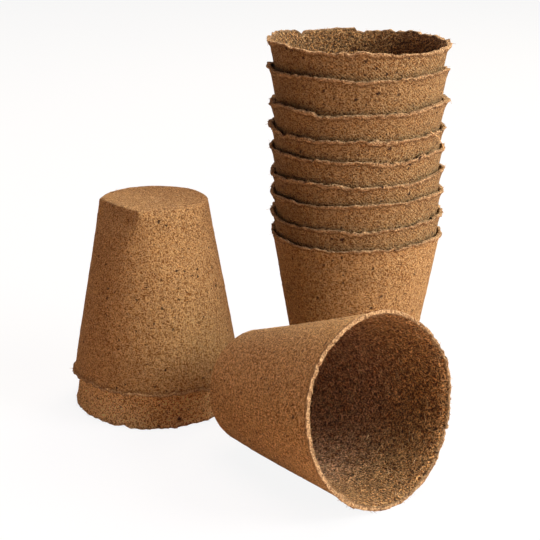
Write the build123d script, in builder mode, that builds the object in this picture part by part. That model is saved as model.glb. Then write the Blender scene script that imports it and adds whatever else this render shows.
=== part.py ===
from build123d import *
import os
from math import asin, atan2, cos, degrees, hypot, radians, sin, tan

# Set of round peat pots: a nested stack, an upturned nested pair and one pot lying on its side.
# Millimetres. The origin is the centre of the foot of the lowest pot of the stack, on the floor.

# One pot
rim_diameter = 80.0  # outside, at the mean rim
base_diameter = 50.0  # outside, where the line of the wall meets the floor
pot_height = 83.0  # foot to mean rim
base_thickness = 2.0
foot_radius = 2.0  # outside rounding between foot and wall
inner_foot_radius = 4.0
lip_height = 5.0  # how far below the mean rim the wall begins to flare
lip_flare = 0.3  # how far the flare stands off the line of the wall at the mean rim
nest_clearance = 0.3  # between the walls of two nested pots

# Heights of the uneven rim over the mean rim, at equal bearings counterclockwise seen from the mouth
stack_rims = [
    [-0.6, 0.3, -0.6, 0.2, -0.5, 0.1, -0.7, -0.5, -0.8, -0.1, 0.7, 1.0],
    [-0.6, 0.0, 0.6, -0.5, 0.2, -0.8, -0.6, -1.5, -1.2, -0.8, 0.1, 1.2],
    [-0.8, -0.1, -0.9, 0.1, 0.7, -0.2, -1.4, -0.3, -0.4, 1.4, 1.9, 2.3],
    [0.1, -0.7, 0.3, 0.8, -0.5, 0.1, -1.7, -0.5, 0.3, -0.1, 0.0, 2.0],
    [-0.4, 0.4, 0.9, -0.2, -0.8, 0.4, -0.8, 0.1, -0.1, 0.5, -0.2, 1.8],
    [-0.7, -0.2, 0.5, 0.0, 0.7, -0.4, 0.4, -0.6, -0.7, -0.1, -0.4, 0.8],
    [0.4, 0.6, -0.5, 0.4, 1.0, 0.1, -1.7, 1.3, -0.4, 0.3, 0.7, 2.2],
    [-0.7, 0.2, 1.0, 0.0, 0.7, 0.0, 0.8, 0.5, 1.3, 0.3, 0.9, 1.7],
    [-0.2, -0.1, 0.7, 1.0, 0.2, 1.5, 1.0, 1.7, 0.2, 0.5, -0.8, -0.8],
]
upturned_inner_rim = [-0.8, -1.6, -0.8, 0.0, -0.6, -1.2, -1.0, -0.2, -1.0, 0.0, -1.2, -0.3]
upturned_outer_rim = [0.5, 0.6, -0.2, -0.4, -0.7, -1.2, 0.6, -0.5, 0.2, -0.6, 0.5, -0.3]
lying_rim = [0.6, 0.1, -0.5, 0.4, 0.9, -0.3, 0.5, -0.4, -1.0, 0.3, 0.7, 0.2]

# Wall thicknesses, foot of the stack first; the thickness sets how far the next pot stands out
stack_walls = [1.4, 1.45, 1.4, 1.55, 1.4, 1.65, 2.3, 1.75, 1.8]
upturned_inner_wall = 1.8
upturned_outer_wall = 2.5
lying_wall = 1.9

# Places on the floor
upturned_x = -94.5
upturned_y = -7.5
lying_foot_x = -48.0
lying_foot_y = -54.5
lying_bearing = -50.0  # direction from foot to mouth, degrees from +X

# Trimming ring that shapes the rim
trim_overhang = 8.0  # beyond the wall, inside and outside
trim_crest = 2.0  # blank wall left above the highest crest, then cut away

rim_radius = rim_diameter / 2
base_radius = base_diameter / 2
wall_slope = (rim_radius - lip_flare - base_radius) / pot_height
taper = degrees(atan2(rim_radius - lip_flare - base_radius, pot_height))
lip_start = pot_height - lip_height


def wall_radius(height):
    """Outside radius of the plain wall at a height over the foot."""
    return base_radius + height * wall_slope


def lip_radius(height):
    """Outside radius of the flared lip at a height over the foot."""
    return wall_radius(height) + lip_flare * ((height - lip_start) / lip_height) ** 2


def nest_step(wall):
    """How far a pot stands out of an equal pot of this wall thickness that holds it."""
    return (wall + nest_clearance) / sin(radians(taper))


def rim_loop(rim, radius):
    """Closed curve round the axis at one radius that follows the uneven rim."""
    turn = 360 / len(rim)
    points = [
        (radius * cos(radians(turn * place)), radius * sin(radians(turn * place)), pot_height + rise)
        for place, rise in enumerate(rim)
    ]
    return Spline(*points, periodic=True)


def make_pot(label, seat, wall, rim):
    """One pot on a seat plane: origin at the middle of its foot, normal towards its mouth."""
    blank_height = pot_height + max(rim) + trim_crest
    level_wall = wall / cos(radians(taper))
    profile_plane = Plane(seat.origin, x_dir=seat.x_dir, z_dir=-seat.y_dir)
    with BuildPart() as pot:
        with BuildSketch(profile_plane) as profile:
            with BuildLine():
                foot = Line((0, 0), (base_radius, 0))
                side = Line(foot @ 1, (wall_radius(lip_start), lip_start))
                lip = TangentArc(side @ 1, (lip_radius(blank_height), blank_height), tangent=side % 1)
                inner_top = (wall_radius(blank_height) - level_wall, blank_height)
                top = Line(lip @ 1, inner_top)
                inner_side = Line(top @ 1, (wall_radius(base_thickness) - level_wall, base_thickness))
                inner_foot = Line(inner_side @ 1, (0, base_thickness))
                Line(inner_foot @ 1, foot @ 0)
            make_face()
            levels = profile.vertices().group_by(Axis.Y)
            outer_corner = levels[0].sort_by(Axis.X)[-1]
            inner_corner = levels[1].sort_by(Axis.X)[-1]
            fillet(outer_corner, foot_radius)
            fillet(inner_corner, inner_foot_radius)
        revolve(axis=Axis(seat.origin, seat.z_dir))
        with BuildLine(seat):
            inner_loop = rim_loop(rim, wall_radius(pot_height) - level_wall - trim_overhang)
            outer_loop = rim_loop(rim, rim_radius + trim_overhang)
        trim_face = Face.make_surface_from_curves(inner_loop.edge(), outer_loop.edge())
        trim_height = trim_crest + max(rim) - min(rim) + trim_overhang
        extrude(trim_face, amount=trim_height, dir=seat.z_dir, mode=Mode.SUBTRACT)
    pot.part.label = label
    export_step(pot.part, f"parts/{label}.step")


os.makedirs("parts", exist_ok=True)

# Stack, foot of the stack first
stack_level = 0.0
for number, (stack_wall, stack_rim) in enumerate(zip(stack_walls, stack_rims), start=1):
    make_pot(f"stack_pot_{number}", Plane.XY.offset(stack_level), stack_wall, stack_rim)
    stack_level += nest_step(stack_wall)

# Upturned pair: the inner pot stands on the crests of its rim, the outer pot is pulled over it
inner_crest = rim_loop(upturned_inner_rim, rim_radius).bounding_box().max.Z
outer_crest = inner_crest + nest_step(upturned_outer_wall)
inner_seat = Plane((upturned_x, upturned_y, inner_crest), x_dir=(1, 0, 0), z_dir=(0, 0, -1))
outer_seat = Plane((upturned_x, upturned_y, outer_crest), x_dir=(1, 0, 0), z_dir=(0, 0, -1))
make_pot("upturned_inner_pot", inner_seat, upturned_inner_wall, upturned_inner_rim)
make_pot("upturned_outer_pot", outer_seat, upturned_outer_wall, upturned_outer_rim)

# Lying pot: it rests on the rounding of its foot and on the lip, so its axis rises to the mouth
touch_height = pot_height + lying_rim[0]
touch_radius = lip_radius(touch_height)
round_radius = base_radius - foot_radius * tan(radians(45 - taper / 2))
touch_span = hypot(touch_radius - round_radius, touch_height - foot_radius)
touch_angle = atan2(touch_radius - round_radius, touch_height - foot_radius)
lying_tilt = touch_angle - asin(foot_radius / touch_span)
lying_level = touch_radius * cos(lying_tilt) - touch_height * sin(lying_tilt)
along_x = cos(radians(lying_bearing))
along_y = sin(radians(lying_bearing))
lying_seat = Plane(
    (lying_foot_x, lying_foot_y, lying_level),
    x_dir=(along_x * sin(lying_tilt), along_y * sin(lying_tilt), -cos(lying_tilt)),
    z_dir=(along_x * cos(lying_tilt), along_y * cos(lying_tilt), sin(lying_tilt)),
)
make_pot("lying_pot", lying_seat, lying_wall, lying_rim)
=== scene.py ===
import random
from math import asin, atan, atan2, ceil, cos, hypot, pi, radians, sin, tan

import bmesh
import bpy
from mathutils import Matrix, Vector, noise


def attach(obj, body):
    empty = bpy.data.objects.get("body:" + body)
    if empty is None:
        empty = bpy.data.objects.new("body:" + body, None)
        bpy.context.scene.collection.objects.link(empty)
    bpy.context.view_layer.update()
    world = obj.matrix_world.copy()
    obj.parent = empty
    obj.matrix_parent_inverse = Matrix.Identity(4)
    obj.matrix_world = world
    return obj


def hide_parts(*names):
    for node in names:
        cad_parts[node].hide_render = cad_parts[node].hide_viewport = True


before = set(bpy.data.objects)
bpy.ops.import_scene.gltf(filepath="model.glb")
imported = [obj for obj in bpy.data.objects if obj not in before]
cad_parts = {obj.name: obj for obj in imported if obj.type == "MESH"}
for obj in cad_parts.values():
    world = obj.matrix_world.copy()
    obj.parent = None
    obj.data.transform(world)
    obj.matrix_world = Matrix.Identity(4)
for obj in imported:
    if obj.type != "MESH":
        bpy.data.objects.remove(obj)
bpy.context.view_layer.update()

# Sizes of the pots in millimetres, as in the part's source
MM = 0.001
RIM_RADIUS = 40.0
BASE_RADIUS = 25.0
POT_HEIGHT = 83.0
BASE_THICKNESS = 2.0
FOOT_RADIUS = 2.0
INNER_FOOT_RADIUS = 4.0
LIP_HEIGHT = 5.0
LIP_FLARE = 0.3
NEST_CLEARANCE = 0.3
LIP_START = POT_HEIGHT - LIP_HEIGHT
WALL_SLOPE = (RIM_RADIUS - LIP_FLARE - BASE_RADIUS) / POT_HEIGHT
TAPER = atan(WALL_SLOPE)

# Rim heights over the mean rim at equal bearings, foot of the stack first
STACK_RIMS = [
    [-0.6, 0.3, -0.6, 0.2, -0.5, 0.1, -0.7, -0.5, -0.8, -0.1, 0.7, 1.0],
    [-0.6, 0.0, 0.6, -0.5, 0.2, -0.8, -0.6, -1.5, -1.2, -0.8, 0.1, 1.2],
    [-0.8, -0.1, -0.9, 0.1, 0.7, -0.2, -1.4, -0.3, -0.4, 1.4, 1.9, 2.3],
    [0.1, -0.7, 0.3, 0.8, -0.5, 0.1, -1.7, -0.5, 0.3, -0.1, 0.0, 2.0],
    [-0.4, 0.4, 0.9, -0.2, -0.8, 0.4, -0.8, 0.1, -0.1, 0.5, -0.2, 1.8],
    [-0.7, -0.2, 0.5, 0.0, 0.7, -0.4, 0.4, -0.6, -0.7, -0.1, -0.4, 0.8],
    [0.4, 0.6, -0.5, 0.4, 1.0, 0.1, -1.7, 1.3, -0.4, 0.3, 0.7, 2.2],
    [-0.7, 0.2, 1.0, 0.0, 0.7, 0.0, 0.8, 0.5, 1.3, 0.3, 0.9, 1.7],
    [-0.2, -0.1, 0.7, 1.0, 0.2, 1.5, 1.0, 1.7, 0.2, 0.5, -0.8, -0.8],
]
UPTURNED_INNER_RIM = [-0.8, -1.6, -0.8, 0.0, -0.6, -1.2, -1.0, -0.2, -1.0, 0.0, -1.2, -0.3]
UPTURNED_OUTER_RIM = [0.5, 0.6, -0.2, -0.4, -0.7, -1.2, 0.6, -0.5, 0.2, -0.6, 0.5, -0.3]
LYING_RIM = [0.6, 0.1, -0.5, 0.4, 0.9, -0.3, 0.5, -0.4, -1.0, 0.3, 0.7, 0.2]

STACK_WALLS = [1.4, 1.45, 1.4, 1.55, 1.4, 1.65, 2.3, 1.75, 1.8]
UPTURNED_INNER_WALL = 1.8
UPTURNED_OUTER_WALL = 2.5
LYING_WALL = 1.9
UPTURNED_PLACE = (-94.5, -7.5)
LYING_PLACE = (-48.0, -54.5)
LYING_BEARING = radians(-50.0)

# Fineness of the pots' surfaces
COLUMNS = 368
SECTORS = 16
FINE_ROW = 1.0
COARSE_ROW = 2.4
LIP_ROW = 0.4
BAND_START = 62.0
OUTER_RIM_ROUND = 0.5
INNER_RIM_ROUND = 0.4

# Torn rims and loose strands, in millimetres
TEARS = 34
WAVE_REACH = 22.0  # how far below the mean rim its waves fade out
TEAR_REACH = 3.0  # how far below it its tears fade out
FRAY_LENGTH = 2.4
STRAND_RADIUS = 0.1

# Shifts on the wrapped surface that keep the patterns of its parts separate, in millimetres
INNER_WALL_SHIFT = 100.0
OUTER_BASE_SHIFT = 200.0
INNER_BASE_SHIFT = 300.0

# Felt: its base colour, and factors on the tone of each pot, two of them painted shade
PEAT = (0.45, 0.242, 0.080)
DARK_FELT = (0.48, 0.36, 0.26, 1)
LIGHT_FELT = (1.50, 1.66, 1.90, 1)
DULL_STRAND = (0.26, 0.17, 0.15, 1)
PALE_STRAND = (1.80, 2.25, 3.1, 1)
# Painted shadow in the band under each torn collar
UNDERCUT_PAINTED_SHADOW = (0.30, 0.22, 0.18, 1)
# Painted shade: a bluer cast far inside the pots
DEEP_INSIDE_PAINTED_HUE = (1.0, 1.0, 1.42, 1)
UNCHANGED = (1, 1, 1, 1)

# Plain colours
FRAY_DARK = (0.18, 0.09, 0.035, 1)
FRAY_PALE = (0.66, 0.43, 0.21, 1)
BARK = (0.035, 0.014, 0.007, 1)
STRAW_DARK = (0.38, 0.21, 0.085, 1)
STRAW_PALE = (0.78, 0.54, 0.27, 1)
FLOOR_BOUNCE = (0.76, 0.53, 0.39, 1)
FLOOR_SEEN = (0.94, 0.94, 0.94, 1)
WHITE = (1, 1, 1, 1)

STRAND_ANGLES = (7, 43, 79, 112, 151)  # degrees


def wall_radius(height):
    """Outside radius of the plain wall at a height over the foot."""
    return BASE_RADIUS + height * WALL_SLOPE


def nest_step(wall):
    """How far a pot stands out of the pot of this wall thickness that holds it."""
    return (wall + NEST_CLEARANCE) / sin(TAPER)


def ease(low, high, value):
    """Smooth rise from 0 to 1 between two values."""
    part = min(max((value - low) / (high - low), 0.0), 1.0)
    return part * part * (3 - 2 * part)


def swing_between(bearing, middle):
    """Signed angle from one bearing to another, at most half a turn."""
    return (bearing - middle + pi) % (2 * pi) - pi


def rim_rise(rim, bearing):
    """Height of the uneven rim over the mean rim at a bearing in radians."""
    place = bearing % (2 * pi) / (2 * pi) * len(rim)
    start = int(place)
    part = place - start
    before, low, high, after = (rim[(start + step) % len(rim)] for step in (-1, 0, 1, 2))
    bend = 2 * before - 5 * low + 4 * high - after
    twist = 3 * (low - high) + after - before
    return low + part * ((high - before) + part * (bend + part * twist)) / 2


def ripple(bearing, waves, seed):
    """Seamless noise round a rim, with about that many waves."""
    reach = waves / (2 * pi)
    return noise.noise(Vector((reach * cos(bearing), reach * sin(bearing), seed)))


# Seats: each pot's own frame in millimetres, its z from foot to mouth
def stack_seat(number):
    """Upright, in the pots below it."""
    level = sum(nest_step(wall) for wall in STACK_WALLS[:number - 1])
    return Matrix.Translation((0, 0, level))


def upturned_seat(level):
    """Mouth down, its foot at a level over the floor."""
    return Matrix.Translation((*UPTURNED_PLACE, level)) @ Matrix.Rotation(pi, 4, "X")


def lying_seat():
    """On its side, resting on the rounding of its foot and on its lip."""
    touch_height = POT_HEIGHT + LYING_RIM[0]
    lip_part = (touch_height - LIP_START) / LIP_HEIGHT
    touch_radius = wall_radius(touch_height) + LIP_FLARE * lip_part ** 2
    round_radius = BASE_RADIUS - FOOT_RADIUS * tan(pi / 4 - TAPER / 2)
    across = touch_radius - round_radius
    along = touch_height - FOOT_RADIUS
    tilt = atan2(across, along) - asin(FOOT_RADIUS / hypot(across, along))
    level = touch_radius * cos(tilt) - touch_height * sin(tilt)
    east, north = cos(LYING_BEARING), sin(LYING_BEARING)
    down = Vector((east * sin(tilt), north * sin(tilt), -cos(tilt)))
    mouth = Vector((east * cos(tilt), north * cos(tilt), sin(tilt)))
    turn = Matrix((down, mouth.cross(down), mouth)).transposed().to_4x4()
    return Matrix.Translation((*LYING_PLACE, level)) @ turn


# Node helpers
def add(tree, kind, inputs=None, **settings):
    """New shader node; inputs take values or the sockets that feed them."""
    made = tree.nodes.new(kind)
    for name, value in settings.items():
        setattr(made, name, value)
    for name, value in (inputs or {}).items():
        if isinstance(value, bpy.types.NodeSocket):
            tree.links.new(value, made.inputs[name])
        else:
            made.inputs[name].default_value = value
    return made


def math(tree, operation, first, second=0.0, third=0.0):
    """Result of one operation on values or sockets."""
    inputs = {0: first, 1: second, 2: third}
    return add(tree, "ShaderNodeMath", inputs, operation=operation).outputs[0]


def spread(tree, value, low, high, to_low=0.0, to_high=1.0):
    """Stretches part of a value's range, clamped at both ends."""
    inputs = {"Value": value, "From Min": low, "From Max": high, "To Min": to_low, "To Max": to_high}
    return add(tree, "ShaderNodeMapRange", inputs).outputs["Result"]


def cloud(tree, vector, scale, detail=2.0, flat=False):
    """Cloudy noise from 0 to 1."""
    inputs = {"Vector": vector, "Scale": scale, "Detail": detail}
    kind = "2D" if flat else "3D"
    return add(tree, "ShaderNodeTexNoise", inputs, noise_dimensions=kind).outputs["Fac"]


def blend_colour(tree, amount, first, second, kind="MIX"):
    """Two colours blended by an amount, both given as values or sockets."""
    mixed = add(tree, "ShaderNodeMix", data_type="RGBA", blend_type=kind, clamp_factor=True)
    for name, value in (("Factor_Float", amount), ("A_Color", first), ("B_Color", second)):
        socket = next(entry for entry in mixed.inputs if entry.identifier == name)
        if isinstance(value, bpy.types.NodeSocket):
            tree.links.new(value, socket)
        else:
            socket.default_value = value
    return next(entry for entry in mixed.outputs if entry.identifier == "Result_Color")


def new_group(name, inputs, outputs):
    """Empty shader group with named sockets: tree, input node, output node."""
    group = bpy.data.node_groups.new(name, "ShaderNodeTree")
    for label, kind in inputs:
        group.interface.new_socket(label, in_out="INPUT", socket_type=f"NodeSocket{kind}")
    for label, kind in outputs:
        group.interface.new_socket(label, in_out="OUTPUT", socket_type=f"NodeSocket{kind}")
    return group, group.nodes.new("NodeGroupInput"), group.nodes.new("NodeGroupOutput")


def place_group(tree, group, inputs):
    """A shared effect placed in a tree with its own values."""
    return add(tree, "ShaderNodeGroup", inputs, node_tree=group)


def vertex_mark(tree, name):
    """A mark that shape_pot leaves on a pot's vertices."""
    return add(tree, "ShaderNodeAttribute", attribute_name=name).outputs["Fac"]


def place_in_millimetres(tree):
    """Object coordinates in millimetres."""
    here = add(tree, "ShaderNodeTexCoord").outputs["Object"]
    return add(tree, "ShaderNodeVectorMath", {0: here, "Scale": 1 / MM}, operation="SCALE").outputs[0]


def seen_by_camera(tree):
    """1 where the camera sees a surface, also in gloss and through glass, and 0 for light that bounces."""
    path = add(tree, "ShaderNodeLightPath")
    seen = math(tree, "MAXIMUM", path.outputs["Is Camera Ray"], path.outputs["Is Glossy Ray"])
    return math(tree, "MAXIMUM", seen, path.outputs["Is Transmission Ray"])


def link_object(name, data):
    """New object in the scene, at the origin."""
    made = bpy.data.objects.new(name, data)
    bpy.context.scene.collection.objects.link(made)
    return made


# Shared effects of pressed fibre; Surface and Place are in millimetres
def make_strand_group():
    """Short straight strands that cross each other at several angles."""
    tree, given, out = new_group(
        "crossing_strands",
        [("Surface", "Vector"), ("Length", "Float"), ("Width", "Float"), ("Low", "Float"), ("High", "Float")],
        [("Strands", "Float")],
    )
    along = math(tree, "DIVIDE", 1.0, given.outputs["Length"])
    across = math(tree, "DIVIDE", 1.0, given.outputs["Width"])
    size = add(tree, "ShaderNodeCombineXYZ", {"X": along, "Y": across, "Z": 1.0}).outputs[0]
    total = 0.0
    for place, angle in enumerate(STRAND_ANGLES):
        turned = add(tree, "ShaderNodeMapping", {
            "Vector": given.outputs["Surface"],
            "Location": (place * 37.3, place * 11.9, 0),
            "Rotation": (0, 0, radians(angle)),
        }).outputs[0]
        squeezed = add(tree, "ShaderNodeVectorMath", {0: turned, 1: size}, operation="MULTIPLY").outputs[0]
        fibre = cloud(tree, squeezed, 1.0, 0.0, flat=True)
        total = math(tree, "MAXIMUM", total, fibre)
    strands = spread(tree, total, given.outputs["Low"], given.outputs["High"])
    tree.links.new(strands, out.inputs["Strands"])
    return tree


def make_speck_group():
    """Dark bits of bark and root, irregular and of uneven size."""
    tree, given, out = new_group(
        "bark_specks",
        [("Surface", "Vector"), ("Spacing", "Float"), ("Largest", "Float")],
        [("Specks", "Float")],
    )
    warp_inputs = {"Vector": given.outputs["Surface"], "Scale": 0.9, "Detail": 2.0}
    warp = add(tree, "ShaderNodeTexNoise", warp_inputs)
    pushed = add(tree, "ShaderNodeVectorMath", {
        0: warp.outputs["Color"], 1: (2.4, 2.4, 0), 2: given.outputs["Surface"],
    }, operation="MULTIPLY_ADD").outputs[0]
    density = math(tree, "DIVIDE", 1.0, given.outputs["Spacing"])
    cell_inputs = {"Vector": pushed, "Scale": density}
    cells = add(tree, "ShaderNodeTexVoronoi", cell_inputs, voronoi_dimensions="2D")
    chance = add(tree, "ShaderNodeSeparateColor", {"Color": cells.outputs["Color"]}).outputs["Red"]
    reach = math(tree, "MULTIPLY", math(tree, "POWER", chance, 4.0), given.outputs["Largest"])
    reach = math(tree, "MULTIPLY", reach, density)
    core = math(tree, "MULTIPLY", reach, 0.55)
    specks = spread(tree, cells.outputs["Distance"], reach, core)
    tree.links.new(specks, out.inputs["Specks"])
    return tree


def make_imprint_group():
    """Print of the forming mesh: small diagonal lozenges, and fine lines down the wall."""
    tree, given, out = new_group(
        "mesh_print",
        [("Surface", "Vector"), ("Pitch", "Float"), ("Lines", "Float")],
        [("Print", "Float")],
    )
    split = add(tree, "ShaderNodeSeparateXYZ", {"Vector": given.outputs["Surface"]})
    turns = math(tree, "DIVIDE", 2 * pi, given.outputs["Pitch"])
    sideways = math(tree, "MULTIPLY", split.outputs["X"], turns)
    upward = math(tree, "MULTIPLY", split.outputs["Y"], turns)
    rising = math(tree, "SINE", math(tree, "ADD", sideways, upward))
    falling = math(tree, "SINE", math(tree, "SUBTRACT", sideways, upward))
    lozenges = math(tree, "MULTIPLY", math(tree, "MULTIPLY_ADD", falling, 0.45, rising), 0.69)
    down_lines = math(tree, "SINE", math(tree, "MULTIPLY", sideways, 1.25))
    mixed = add(tree, "ShaderNodeMix", {
        "Factor": given.outputs["Lines"], "A": lozenges, "B": down_lines,
    }, data_type="FLOAT").outputs["Result"]
    tree.links.new(mixed, out.inputs["Print"])
    return tree


strand_group = make_strand_group()
speck_group = make_speck_group()
imprint_group = make_imprint_group()


def make_felt_group():
    """Colour and relief of pressed peat fibre, with painted shadow under the collars, painted darkening
    inside the pots and painted light on a foot that faces up.
    """
    tree, given, out = new_group(
        "peat_felt",
        [("Surface", "Vector"), ("Place", "Vector"), ("Shade", "Color"), ("Hollow", "Color"),
         ("Inside", "Float"), ("Deep Painted Hue", "Float"), ("Edge", "Float"), ("Crease", "Float"),
         ("Contrast", "Float"), ("Print", "Float"), ("Lines", "Float")],
        [("Color", "Color"), ("Height", "Float")],
    )
    surface, place, inside = given.outputs["Surface"], given.outputs["Place"], given.outputs["Inside"]
    shade, contrast = given.outputs["Shade"], given.outputs["Contrast"]
    patches = cloud(tree, place, 0.055, 2.0)
    mottle = cloud(tree, place, 0.3, 3.0)
    grain = cloud(tree, place, 0.8, 1.0)
    dust = cloud(tree, place, 1.6, 1.0)
    pressed = place_group(tree, imprint_group, {
        "Surface": surface, "Pitch": 1.5, "Lines": given.outputs["Lines"]}).outputs[0]
    clear = math(tree, "MULTIPLY", given.outputs["Print"], spread(tree, patches, 0.42, 0.58, 0.25, 1.0))
    printed = math(tree, "MULTIPLY", pressed, clear)

    tone = math(tree, "ADD", spread(tree, patches, 0.3, 0.7, -0.10, 0.10), 0.5)
    tone = math(tree, "ADD", tone, spread(tree, mottle, 0.3, 0.7, -0.15, 0.15))
    grain_tone = spread(tree, grain, 0.3, 0.7, -0.2, 0.2)
    dust_tone = spread(tree, dust, 0.3, 0.7, -0.9, 0.9)
    fine = math(tree, "ADD", grain_tone, dust_tone)
    fine = math(tree, "MULTIPLY", fine, spread(tree, clear, 0.3, 1.2, 1.0, 0.6))
    tone = math(tree, "MULTIPLY_ADD", fine, contrast, tone)
    tone = math(tree, "MULTIPLY_ADD", printed, 0.5, tone)
    dark = blend_colour(tree, 1.0, shade, DARK_FELT, "MULTIPLY")
    light = blend_colour(tree, 1.0, shade, LIGHT_FELT, "MULTIPLY")
    colour = blend_colour(tree, tone, dark, light)

    pale = place_group(tree, strand_group, {
        "Surface": surface, "Length": spread(tree, inside, 0, 1, 2.4, 4.5), "Width": 0.42,
        "Low": spread(tree, inside, 0, 1, 0.73, 0.68), "High": 0.80}).outputs[0]
    shifted = add(tree, "ShaderNodeVectorMath", {0: surface, 1: (61.7, 23.9, 0)}).outputs[0]
    dull = place_group(tree, strand_group, {
        "Surface": shifted, "Length": 1.6, "Width": 0.45, "Low": 0.71, "High": 0.80}).outputs[0]
    dull_depth = math(tree, "MULTIPLY", contrast, spread(tree, inside, 0, 1, 0.35, 0.7))
    pale_depth = math(tree, "MULTIPLY", contrast, spread(tree, inside, 0, 1, 0.65, 0.8))
    dull_strand = blend_colour(tree, 1.0, shade, DULL_STRAND, "MULTIPLY")
    pale_strand = blend_colour(tree, 1.0, shade, PALE_STRAND, "MULTIPLY")
    colour = blend_colour(tree, math(tree, "MULTIPLY", dull, dull_depth), colour, dull_strand)
    colour = blend_colour(tree, math(tree, "MULTIPLY", pale, pale_depth), colour, pale_strand)

    # Painted shade inside the pots: the inside factor darkens the inner surfaces and turns them bluer far
    # down; the pitted factor is the felt's own coarse grain
    painted_dark_inside = blend_colour(tree, given.outputs["Deep Painted Hue"], UNCHANGED, DEEP_INSIDE_PAINTED_HUE)
    painted_dark_inside = blend_colour(tree, 1.0, painted_dark_inside, given.outputs["Hollow"], "MULTIPLY")
    painted_dark_inside = blend_colour(tree, 1.0, colour, painted_dark_inside, "MULTIPLY")
    pitted = spread(tree, cloud(tree, place, 1.1, 1.0), 0.33, 0.67, 0.25, 1.75)
    pitted = add(tree, "ShaderNodeCombineColor", {"Red": pitted, "Green": pitted, "Blue": pitted}).outputs[0]
    painted_dark_inside = blend_colour(tree, 1.0, painted_dark_inside, pitted, "MULTIPLY")
    colour = blend_colour(tree, inside, colour, painted_dark_inside)
    # Frayed colour of the torn rims; on the upturned pot's foot the same mask paints light on the base that
    # faces up
    grain_fray = spread(tree, grain, 0.36, 0.64, 0.0, 0.45)
    dust_fray = spread(tree, dust, 0.36, 0.64, 0.0, 0.55)
    ragged = math(tree, "ADD", grain_fray, dust_fray)
    frayed = blend_colour(tree, ragged, FRAY_DARK, FRAY_PALE)
    colour = blend_colour(tree, given.outputs["Edge"], colour, frayed)
    # Painted shadow in the band under each torn collar, darker than the wall
    undercut_painted_shadow = blend_colour(tree, 1.0, shade, UNDERCUT_PAINTED_SHADOW, "MULTIPLY")
    colour = blend_colour(tree, math(tree, "MULTIPLY", given.outputs["Crease"], 0.6), colour, undercut_painted_shadow)

    large = place_group(tree, speck_group, {"Surface": surface, "Spacing": 3.9, "Largest": 0.82}).outputs[0]
    small = place_group(tree, speck_group, {"Surface": shifted, "Spacing": 1.7, "Largest": 0.42}).outputs[0]
    specks = math(tree, "MAXIMUM", large, math(tree, "MULTIPLY", small, 0.55))
    colour = blend_colour(tree, math(tree, "MULTIPLY", specks, 0.95), colour, BARK)
    tree.links.new(colour, out.inputs["Color"])

    relief = math(tree, "MULTIPLY_ADD", pale, 0.55, math(tree, "ADD", grain, dust))
    relief = math(tree, "MULTIPLY_ADD", dull, -0.4, relief)
    relief = math(tree, "MULTIPLY_ADD", specks, -0.25, relief)
    relief = math(tree, "MULTIPLY", relief, spread(tree, inside, 0, 1, 1.0, 2.2))
    relief = math(tree, "MULTIPLY_ADD", printed, 0.30, relief)
    tree.links.new(relief, out.inputs["Height"])
    return tree


felt_group = make_felt_group()


def new_material(name):
    """New material, with its node tree and its Principled shader."""
    material = bpy.data.materials.new(name)
    material.use_nodes = True
    tree = material.node_tree
    return material, tree, tree.nodes["Principled BSDF"]


def felt_material(pot):
    """Pressed fibre of one pot; its seed moves the specks and strands."""
    material, tree, shader = new_material(f"{pot['name']}_felt")
    # The tone factor and tint are partly each pot's own colour and partly painted light: the upper stack pots
    # darker as if shaded under the rims, the upturned inner pot and the lying pot lighter and tinted where
    # little light reaches them
    shade = [part * pot["shade"] * tint for part, tint in zip(PEAT, pot["tint"])]
    seed = pot["seed"]
    wrap = add(tree, "ShaderNodeUVMap", uv_map="wrap").outputs["UV"]
    surface = add(tree, "ShaderNodeVectorMath", {
        0: wrap, 1: (1 / MM, 1 / MM, 0), 2: (seed * 61.3, seed * 27.7, 0),
    }, operation="MULTIPLY_ADD").outputs[0]
    felt = place_group(tree, felt_group, {
        "Surface": surface, "Place": place_in_millimetres(tree),
        "Shade": (*shade, 1), "Hollow": (*pot["hollow"], 1),
        "Inside": vertex_mark(tree, "inside"), "Deep Painted Hue": vertex_mark(tree, "deep_painted_hue"),
        "Edge": vertex_mark(tree, "edge"), "Crease": vertex_mark(tree, "crease"),
        "Contrast": pot["contrast"], "Print": vertex_mark(tree, "print"), "Lines": pot["lines"]})
    bump = add(tree, "ShaderNodeBump", {
        "Height": felt.outputs["Height"], "Strength": 1.0, "Distance": 0.5 * MM})
    tree.links.new(felt.outputs["Color"], shader.inputs["Base Color"])
    tree.links.new(bump.outputs["Normal"], shader.inputs["Normal"])
    shader.inputs["Roughness"].default_value = 0.95
    shader.inputs["Specular IOR Level"].default_value = 0.15
    shader.inputs["Sheen Weight"].default_value = 0.08
    shader.inputs["Sheen Roughness"].default_value = 0.5
    shader.inputs["Sheen Tint"].default_value = (1.0, 0.84, 0.62, 1)
    return material


def straw_material():
    """Loose pale fibres at the torn rims."""
    material, tree, shader = new_material("loose_straw")
    tone = spread(tree, cloud(tree, place_in_millimetres(tree), 0.4, 2.0), 0.35, 0.65)
    colour = blend_colour(tree, tone, STRAW_DARK, STRAW_PALE)
    tree.links.new(colour, shader.inputs["Base Color"])
    shader.inputs["Roughness"].default_value = 0.8
    shader.inputs["Specular IOR Level"].default_value = 0.2
    return material


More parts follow.
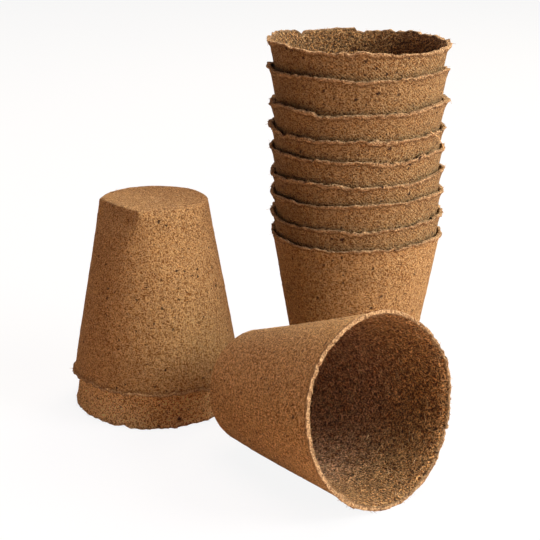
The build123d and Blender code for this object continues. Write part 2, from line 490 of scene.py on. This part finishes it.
# Pots
def pot_blank(wall, outer_row, inner_row):
    """Even pot in its own frame: an outline spun round its axis."""
    shell = bmesh.new()
    level_wall = wall / cos(TAPER)
    outline = [
        (0, 0),
        (BASE_RADIUS, 0),
        (wall_radius(BAND_START), BAND_START),
        (wall_radius(LIP_START), LIP_START),
        (wall_radius(POT_HEIGHT), POT_HEIGHT),
        (wall_radius(POT_HEIGHT) - level_wall, POT_HEIGHT),
        (wall_radius(LIP_START) - level_wall, LIP_START),
        (wall_radius(BASE_THICKNESS) - level_wall, BASE_THICKNESS),
        (0, BASE_THICKNESS),
    ]
    knots = [shell.verts.new((radius, 0, height)) for radius, height in outline]
    for pair in zip(knots, knots[1:]):
        shell.edges.new(pair)
    rounds = {1: FOOT_RADIUS, 4: OUTER_RIM_ROUND, 5: INNER_RIM_ROUND, 7: INNER_FOOT_RADIUS}
    for place, reach in rounds.items():
        bmesh.ops.bevel(
            shell, geom=[knots[place]], offset=reach * 0.85, affect="VERTICES", segments=4, profile=0.5,
            material=-1)
    for run in shell.edges[:]:
        radius, _, height = (run.verts[0].co + run.verts[1].co) / 2
        row = outer_row
        if radius < wall_radius(height) - wall / 2 and height > BASE_THICKNESS / 2:
            row = inner_row
        elif height > BAND_START:
            row = FINE_ROW
        if height > LIP_START:
            row = LIP_ROW
        cuts = ceil(run.calc_length() / row) - 1
        if cuts > 0:
            bmesh.ops.subdivide_edges(shell, edges=[run], cuts=cuts)
    bmesh.ops.spin(
        shell, geom=shell.verts[:] + shell.edges[:], axis=(0, 0, 1), cent=(0, 0, 0),
        angle=2 * pi / SECTORS, steps=COLUMNS // SECTORS)
    turn = 2 * pi / SECTORS
    while turn < 2 * pi:
        copied = bmesh.ops.duplicate(shell, geom=shell.verts[:] + shell.edges[:] + shell.faces[:])["geom"]
        spots = [part for part in copied if isinstance(part, bmesh.types.BMVert)]
        bmesh.ops.rotate(shell, verts=spots, cent=(0, 0, 0), matrix=Matrix.Rotation(turn, 3, "Z"))
        turn *= 2
    bmesh.ops.remove_doubles(shell, verts=shell.verts[:], dist=0.001)
    bmesh.ops.recalc_face_normals(shell, faces=shell.faces[:])
    return shell


def wrap_surface(shell, wall, seam):
    """UV map in metres that follows the wall, with the foot laid flat."""
    wrap = shell.loops.layers.uv.new("wrap")
    mean_radius = (RIM_RADIUS + BASE_RADIUS) / 2
    for face in shell.faces:
        middle = face.calc_center_median()
        across = hypot(middle.x, middle.y)
        within = across < wall_radius(middle.z) - wall * 0.6 and middle.z > BASE_THICKNESS / 2
        flat = across < BASE_RADIUS - FOOT_RADIUS and middle.z < BASE_THICKNESS + INNER_FOOT_RADIUS
        base_shift = INNER_BASE_SHIFT if within else OUTER_BASE_SHIFT
        wall_shift = INNER_WALL_SHIFT if within else 0.0
        middle_turn = (atan2(middle.y, middle.x) - seam) % (2 * pi)
        for loop in face.loops:
            spot = loop.vert.co
            if flat:
                loop[wrap].uv = (spot.x * MM, (spot.y + base_shift) * MM)
                continue
            turn = (atan2(spot.y, spot.x) - seam) % (2 * pi)
            if turn - middle_turn > pi:
                turn -= 2 * pi
            if middle_turn - turn > pi:
                turn += 2 * pi
            loop[wrap].uv = (turn * mean_radius * MM, (spot.z + wall_shift) * MM)


def rim_columns(pot):
    """The rim at each column: its wave, tears and fray, and its collar's reach outward and downward."""
    chance = random.Random(f"{pot['name']} rim")
    seed, rough = pot["seed"], pot["collar_rough"]
    tears = list(pot["nicks"])
    for _ in range(TEARS):
        sharp, slack = chance.uniform(0.012, 0.03), chance.uniform(0.03, 0.14)
        reaches = (sharp, slack) if chance.random() < 0.5 else (slack, sharp)
        tears.append((chance.uniform(0, 2 * pi), chance.uniform(-0.5, 0.8), *reaches))
    columns = []
    for column in range(COLUMNS):
        bearing = 2 * pi * column / COLUMNS
        torn = 0.75 * pot["torn"] * ripple(bearing, 34, seed)
        for middle, depth, before, after in tears:
            swing = swing_between(bearing, middle)
            torn -= depth * max(0.0, 1 - abs(swing) / (before if swing < 0 else after))
        out = ripple(bearing, 9, seed + 31) + ripple(bearing, 50, seed + 37)
        out = pot["collar_out"] * max(0.1, 0.7 + 0.8 * rough * out)
        tall = ripple(bearing, 13, seed + 41) + ripple(bearing, 80, seed + 43)
        tall = pot["collar_tall"] * max(0.2, 1 + 0.9 * rough * tall)
        coarse = pot["torn"] * (0.3 + max(0.0, 0.4 + 1.2 * ripple(bearing, 7, seed + 51)))
        columns.append((rim_rise(pot["rim"], bearing), torn, coarse, out, tall))
    return columns


def flatten_foot(fold, bearing, z, within):
    """Share of its radius that a spot keeps where the foot is pressed flat between two corners."""
    swing = swing_between(bearing, fold["middle"])
    if abs(swing) >= fold["half"]:
        return 1.0
    pressed = 1 - ease(0, 13, z)
    if not within:
        pressed = 1 - 0.85 * ease(0, 15, z) - 0.15 * ease(10, fold["tall"], z)
    soft = ease(0, radians(4 + 2.0 * z), fold["half"] - abs(swing))
    return 1 - 0.74 * pressed * soft * (1 - cos(fold["half"]) / cos(swing))


def sharpen_foot(fold, bearing, z):
    """Share of its height that a spot of the outer skin keeps, so that the pressed edge is crisp."""
    if abs(swing_between(bearing, fold["middle"])) >= fold["half"]:
        return 1.0
    return 1 - 0.85 * (1 - ease(0.3, 2.2, z))


def round_foot(fold, bearing, radius, height, across, z):
    """Radius and height of a spot where the foot is worn round beside the fold."""
    past = swing_between(fold["middle"] - fold["half"], bearing)
    worn = fold["worn"]
    if past <= 0 or across < BASE_RADIUS - worn or z > worn:
        return radius, height
    window = ease(0, radians(15), past) * (1 - ease(radians(45), radians(80), past))
    below = min(z, wall_radius(z) - across, worn - 2)
    out, down = across - (BASE_RADIUS - worn), worn - z
    reach = (worn - below) / max(hypot(out, down), 0.1)
    radius += window * (BASE_RADIUS - worn + out * reach - across)
    height += window * (worn - down * reach - z)
    return radius, height


def slow_bulge(turn, level, waves, reach, seed):
    """Slow noise over a round wall."""
    return noise.noise(Vector((waves * cos(turn), waves * sin(turn), level / reach + seed)))


def shape_pot(shell, pot):
    """Gives an even pot its torn rim, collar, warp, fold and felted skin, and sets it on its seat."""
    wall, seat, seed = pot["wall"], pot["seat"], pot["seed"]
    turned = seat.to_3x3()
    inside_mark = shell.verts.layers.float.new("inside")
    deep_hue_mark = shell.verts.layers.float.new("deep_painted_hue")
    edge_and_lit_foot_mark = shell.verts.layers.float.new("edge")
    crease_shadow_mark = shell.verts.layers.float.new("crease")
    print_mark = shell.verts.layers.float.new("print")
    columns = rim_columns(pot)
    group_seed = pot["group_seed"]
    axis_x, axis_y = pot["axis"]
    for vert in shell.verts:
        x, y, z = vert.co
        across = hypot(x, y)
        bearing = atan2(y, x)
        within = across < wall_radius(z) - wall * 0.5 and z > BASE_THICKNESS / 2
        column = round(bearing / (2 * pi) * COLUMNS) % COLUMNS
        rise, torn, coarse, collar_out, collar_tall = columns[column]
        torn += coarse * noise.noise(Vector((x / FRAY_LENGTH, y / FRAY_LENGTH, seed)))
        wave = rise * ease(POT_HEIGHT - WAVE_REACH, POT_HEIGHT, z)
        tear = torn * ease(POT_HEIGHT - TEAR_REACH, POT_HEIGHT, z)
        height = z + wave + tear
        depth = POT_HEIGHT + rise + torn - height
        lip = max(0.0, (height - LIP_START) / LIP_HEIGHT)
        swell = LIP_FLARE * lip * lip + pot["bead"] * (1 - ease(1.0, 4.5, depth))
        if within:
            edge_reach = 0.4
            swell += pot["gape"] * (1 + pot["gape_lean"] * sin(bearing)) * (1 - ease(0.3, 3.0, depth))
        else:
            edge_reach = collar_tall
            swell += collar_out * (1 - ease(collar_tall - 0.1, collar_tall + 0.3, depth))
            # Painted shadow: a band just under the collar, where its lower edge overhangs the wall
            under = depth - collar_tall
            vert[crease_shadow_mark] = pot["crease"] * ease(0.0, 0.4, under) * (1 - ease(0.5, 1.4, under))
        radius = across + WALL_SLOPE * (height - z) + swell
        vert[inside_mark] = ease(0.0, 0.7, depth) if within else 0.0
        vert[print_mark] = pot["print"] * (0.2 + 0.8 * ease(-0.1, 0.6, cos(bearing - pot["print_side"])))
        # Share of the bluer painted shade far inside
        vert[deep_hue_mark] = ease(12, 45, depth) if within else 0.0
        vert[edge_and_lit_foot_mark] = pot["edge"] * (1 - ease(0.6 * edge_reach, edge_reach + 0.4, depth))
        # Painted light on the foot, for the upturned pot's base that faces up
        vert[edge_and_lit_foot_mark] += pot["pale_foot"] * (1 - ease(0.2, 1.5, z))
        for fold in pot["folds"]:
            radius, height = round_foot(fold, bearing, radius, height, across, z)
            radius *= flatten_foot(fold, bearing, z, within)
            if not within:
                height *= sharpen_foot(fold, bearing, z)
            height -= fold["raised"] * (1 - ease(0, 20, z))
        spot = seat @ Vector((radius * cos(bearing), radius * sin(bearing), height))
        if across > 1:
            turn = bearing if pot["lying"] else atan2(spot.y - axis_y, spot.x - axis_x)
            level = height if pot["lying"] else spot.z
            warp = 0.45 * slow_bulge(turn, level, 1.2, 50, group_seed)
            warp += 0.16 * slow_bulge(turn, level, 3.4, 18, group_seed + 9)
            warp = warp * ease(1, 20, across) + pot["spread"] * ease(126, 153, level)
            spot += turned @ Vector((cos(bearing), sin(bearing), 0)) * warp
        vert.co = spot
    shell.normal_update()
    # Felted skin, rougher inside and at the edge
    for vert in shell.verts:
        spot = vert.co
        skin = 50.0 if vert[inside_mark] > 0.5 else 0.0
        pushed = 0.10 * noise.noise(spot / 5.5 + Vector((skin, seed, 0)))
        pushed += 0.075 * noise.noise(spot / 1.9 + Vector((seed, skin, 0)))
        pushed += 0.22 * vert[edge_and_lit_foot_mark] * noise.noise(spot / 2.0)
        if skin:
            pushed *= 2.2
        vert.co = spot + vert.normal * pushed
        vert.co.z = max(vert.co.z, 0.0)


def loose_strands(shell, pot, straw):
    """Fibres that stand off the rim and lie on the walls, as one mesh."""
    chance = random.Random(pot["name"])
    edge_and_lit_foot_mark = shell.verts.layers.float["edge"]
    inside_mark = shell.verts.layers.float["inside"]
    rim = [vert for vert in shell.verts if vert[edge_and_lit_foot_mark] > 0.7 * pot["edge"]]
    outer = [vert for vert in shell.verts if vert[edge_and_lit_foot_mark] < 0.3 and vert[inside_mark] < 0.1]
    inner = [vert for vert in shell.verts if vert[edge_and_lit_foot_mark] < 0.3 and vert[inside_mark] > 0.9]
    line = bpy.data.curves.new(f"{pot['name']}_strand_lines", "CURVE")
    line.dimensions = "3D"
    line.bevel_depth = STRAND_RADIUS * MM
    line.bevel_resolution = 0
    line.use_fill_caps = True
    for roots, count, lift, longest, stout in (
            (rim, pot["rim_strands"], 0.16, 3.5, 1.0),
            (outer, pot["wall_strands"], 0.03, 3.6, 1.3),
            (inner, pot["inner_strands"], 0.06, 5.0, 1.6)):
        for _ in range(count):
            root = chance.choice(roots)
            up = root.normal.copy()
            heading = Vector((chance.gauss(0, 1), chance.gauss(0, 1), chance.gauss(0, 1)))
            along = up.cross(heading).normalized()
            side = up.cross(along)
            length = chance.uniform(1.2, longest)
            bow = chance.uniform(-0.22, 0.22)
            rising = lift * chance.random() ** 2
            thick = stout * chance.uniform(0.5, 1.15)
            spline = line.splines.new("POLY")
            spline.points.add(3)
            for step, knot in enumerate(spline.points):
                part = step / 3
                spot = root.co + along * length * (part - 0.3) + side * bow * length * part * (1 - part) * 2
                spot += up * (0.02 + rising * length * part * part)
                spot.z = max(spot.z, 0.1)
                knot.co = (*(spot * MM), 1)
                knot.radius = thick * (1 - 0.55 * part)
    for points, thick in pot["straws"]:
        spline = line.splines.new("POLY")
        spline.points.add(len(points) - 1)
        for knot, spot in zip(spline.points, points):
            knot.co = (*(Vector(spot) * MM), 1)
            knot.radius = thick
    carrier = link_object(f"{pot['name']}_strand_lines", line)
    bpy.context.view_layer.update()
    mesh = bpy.data.meshes.new_from_object(carrier.evaluated_get(bpy.context.evaluated_depsgraph_get()))
    bpy.data.objects.remove(carrier)
    bpy.data.curves.remove(line)
    mesh.name = f"{pot['name']}_strands"
    mesh.materials.clear()
    mesh.materials.append(straw)
    piece = link_object(f"{pot['name']}_strands", mesh)
    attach(piece, pot["name"])


def make_pot(pot, straw):
    """One pot of pressed fibre with its loose strands, in place of its plain solid."""
    shell = pot_blank(pot["wall"], pot["outer_row"], pot["inner_row"])
    wrap_surface(shell, pot["wall"], pot["seam"])
    shape_pot(shell, pot)
    loose_strands(shell, pot, straw)
    shell.transform(Matrix.Scale(MM, 4))
    mesh = bpy.data.meshes.new(f"{pot['name']}_felt")
    shell.to_mesh(mesh)
    shell.free()
    mesh.shade_smooth()
    mesh.materials.append(felt_material(pot))
    piece = link_object(f"{pot['name']}_felt", mesh)
    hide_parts(pot["name"])
    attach(piece, pot["name"])


def pot_plan(name, seat, wall, rim, seed, **changes):
    """All that one pot's making needs, with common values filled in."""
    # The tone factor and tint are partly painted light, the inside factor is painted shade, the crease factor
    # paints shadow under the collars, and the foot factor paints light on a foot that faces up
    plan = {
        "name": name, "seat": seat, "wall": wall, "rim": rim, "seed": seed, "group_seed": 0.0,
        "axis": (0.0, 0.0), "lying": False, "seam": pi / 2, "outer_row": COARSE_ROW, "inner_row": COARSE_ROW,
        "bead": 0.25, "collar_out": 0.6, "collar_tall": 1.1, "collar_rough": 1.0, "torn": 0.8,
        "spread": 0.0, "gape": 0.0, "gape_lean": 0.0, "folds": [], "nicks": [], "straws": [],
        "crease": 1.0, "edge": 1.0, "pale_foot": 0.0, "contrast": 1.0, "print_side": radians(-40),
        "rim_strands": 90, "wall_strands": 130, "inner_strands": 20,
        "shade": 1.0, "tint": (1.0, 1.0, 1.0), "hollow": (0.80, 0.70, 0.66), "print": 0.6, "lines": 0.0,
    }
    plan.update(changes)
    return plan


# The upper stack pots are darker partly as painted shade, for their bands lie under the rims above them
plans = []
for number, (stack_wall, stack_rim) in enumerate(zip(STACK_WALLS, STACK_RIMS), start=1):
    plans.append(pot_plan(
        f"stack_pot_{number}", stack_seat(number), stack_wall, stack_rim, 3.7 * number,
        spread=1.0, shade=0.62, gape=0.35, collar_out=0.8, contrast=1.25, print=0.9))
plans[0].update(outer_row=FINE_ROW, wall_strands=420, shade=0.84, print=0.35, contrast=1.15)
plans[5].update(lines=1.0, print=0.5, straws=[
    ([(30.4, -28.4, 134.8), (34.5, -23.2, 131.2), (37.0, -18.9, 127.1), (38.3, -16.2, 124.0)], 2.6)])
plans[6].update(nicks=[(radians(237), -0.8, 0.20, 0.03), (radians(240), 0.9, 0.03, 0.35)])
# The top pot's inside factor is painted shade in its mouth, lighter than on the other pots
plans[8].update(inner_row=FINE_ROW, inner_strands=260, print=1.5, hollow=(0.95, 0.82, 0.68), nicks=[
    (radians(130), 1.1, 0.05, 0.06), (radians(88), 2.0, 0.75, 0.03), (radians(41), 1.0, 0.20, 0.03)])

inner_level = POT_HEIGHT + max(UPTURNED_INNER_RIM)
outer_level = inner_level + nest_step(UPTURNED_OUTER_WALL)
# Painted light: the upturned inner pot is made lighter and bluer where its skirt lies in the shade of the
# outer rim and the lying pot
plans.append(pot_plan(
    "upturned_inner_pot", upturned_seat(inner_level), UPTURNED_INNER_WALL, UPTURNED_INNER_RIM, 41.3,
    axis=UPTURNED_PLACE, group_seed=5.0, seam=-pi / 2, bead=0.1, collar_out=0.2, collar_tall=1.0, print=0.2,
    shade=1.8, tint=(1.0, 1.22, 1.5), edge=0.4, crease=0.0))
plans.append(pot_plan(
    "upturned_outer_pot", upturned_seat(outer_level), UPTURNED_OUTER_WALL, UPTURNED_OUTER_RIM, 47.9,
    axis=UPTURNED_PLACE, group_seed=5.0, seam=-pi / 2, outer_row=FINE_ROW, wall_strands=550, print=0.2,
    shade=0.98, bead=0.15, collar_out=1.0, collar_tall=0.9, collar_rough=0.35, pale_foot=0.2, contrast=0.9,
    folds=[{"middle": radians(139.5), "half": radians(40.5), "tall": 48.0, "worn": 5.0, "raised": 0.2}]))
# Painted light and shade: the lying pot is made lighter and tinted, and its inside darker
plans.append(pot_plan(
    "lying_pot", lying_seat(), LYING_WALL, LYING_RIM, 53.1,
    lying=True, group_seed=11.0, seam=0.0, outer_row=FINE_ROW, inner_row=FINE_ROW,
    bead=0.1, collar_out=0.35, collar_tall=1.0, torn=0.45, gape=0.45, gape_lean=0.8, contrast=1.75,
    wall_strands=500, inner_strands=900, rim_strands=160, lines=1.0, shade=1.22, tint=(1.0, 1.03, 1.03),
    hollow=(0.62, 0.52, 0.43),
    nicks=[(radians(229), 1.3, 0.03, 0.06), (radians(327), 1.2, 0.08, 0.03)]))

straw = straw_material()
for plan in plans:
    make_pot(plan, straw)


# Floor, light and camera
def make_floor():
    """White to the camera with the pots' soft shadow, warm to the light that bounces off it."""
    shell = bmesh.new()
    bmesh.ops.create_grid(shell, x_segments=1, y_segments=1, size=4.0)
    mesh = bpy.data.meshes.new("floor")
    shell.to_mesh(mesh)
    shell.free()
    floor = link_object("floor", mesh)
    floor.location.z = -0.0002
    material = bpy.data.materials.new("pale_floor")
    material.use_nodes = True
    tree = material.node_tree
    tree.nodes.clear()
    seen = seen_by_camera(tree)
    pale = blend_colour(tree, seen, FLOOR_BOUNCE, FLOOR_SEEN)
    lit = add(tree, "ShaderNodeBsdfDiffuse", {"Color": pale}).outputs[0]
    white = add(tree, "ShaderNodeEmission", {"Color": WHITE, "Strength": 1.0}).outputs[0]
    whiteness = math(tree, "MULTIPLY", seen, 0.90)
    mixed = add(tree, "ShaderNodeMixShader", {0: whiteness, 1: lit, 2: white}).outputs[0]
    add(tree, "ShaderNodeOutputMaterial", {"Surface": mixed})
    mesh.materials.append(material)


def make_world():
    """White to the camera, soft even light to everything else."""
    world = bpy.data.worlds.new("studio")
    bpy.context.scene.world = world
    world.use_nodes = True
    tree = world.node_tree
    tree.nodes.clear()
    seen = seen_by_camera(tree)
    soft = add(tree, "ShaderNodeBackground", {"Color": (1.0, 0.74, 0.60, 1), "Strength": 0.02}).outputs[0]
    white = add(tree, "ShaderNodeBackground", {"Color": WHITE, "Strength": 1.0}).outputs[0]
    mixed = add(tree, "ShaderNodeMixShader", {0: seen, 1: soft, 2: white}).outputs[0]
    add(tree, "ShaderNodeOutputWorld", {"Surface": mixed})


def make_lamp(name, direction, distance, size, level, tint, aim=(-0.04, -0.04, 0.08)):
    """Round soft lamp; level 1 lights a white card that faces it to full white."""
    data = bpy.data.lights.new(name, "AREA")
    data.shape = "DISK"
    data.size = size
    data.energy = level * pi ** 2 * distance ** 2
    data.color = tint
    lamp = link_object(name, data)
    heading = Vector(direction).normalized()
    lamp.location = Vector(aim) + heading * distance
    lamp.rotation_euler = heading.to_track_quat("Z", "Y").to_euler()


def make_camera():
    """At the photograph's viewing angle, looking 17.41 degrees down."""
    data = bpy.data.cameras.new("camera")
    data.sensor_width = 36.0
    data.lens = 91.16
    data.clip_start = 0.01
    camera = link_object("camera", data)
    camera.location = (-0.0405, -0.6230, 0.25715)
    camera.rotation_euler = (radians(90 - 17.41), 0, 0)
    bpy.context.scene.camera = camera


make_floor()
make_world()
make_lamp("key", (0.81, -0.21, 0.53), 1.3, 0.8, 1.19, (0.98, 1.0, 1.0))
make_lamp("side", (0.70, -0.70, 0.20), 1.3, 0.55, 0.56, (1.0, 0.85, 0.86))
make_lamp("top", (0.0, 0.1, 1.0), 1.6, 1.2, 0.60, (1.0, 0.70, 0.66))
make_lamp("back", (0.35, 0.6, 0.75), 1.6, 0.8, 0.50, (1.0, 0.86, 0.62))
make_lamp("fill", (-1.0, -0.7, 0.2), 0.4, 0.25, 0.035, (1.0, 0.72, 0.60), (-0.10, -0.05, 0.02))
make_camera()
bpy.context.scene.view_settings.view_transform = "Standard"
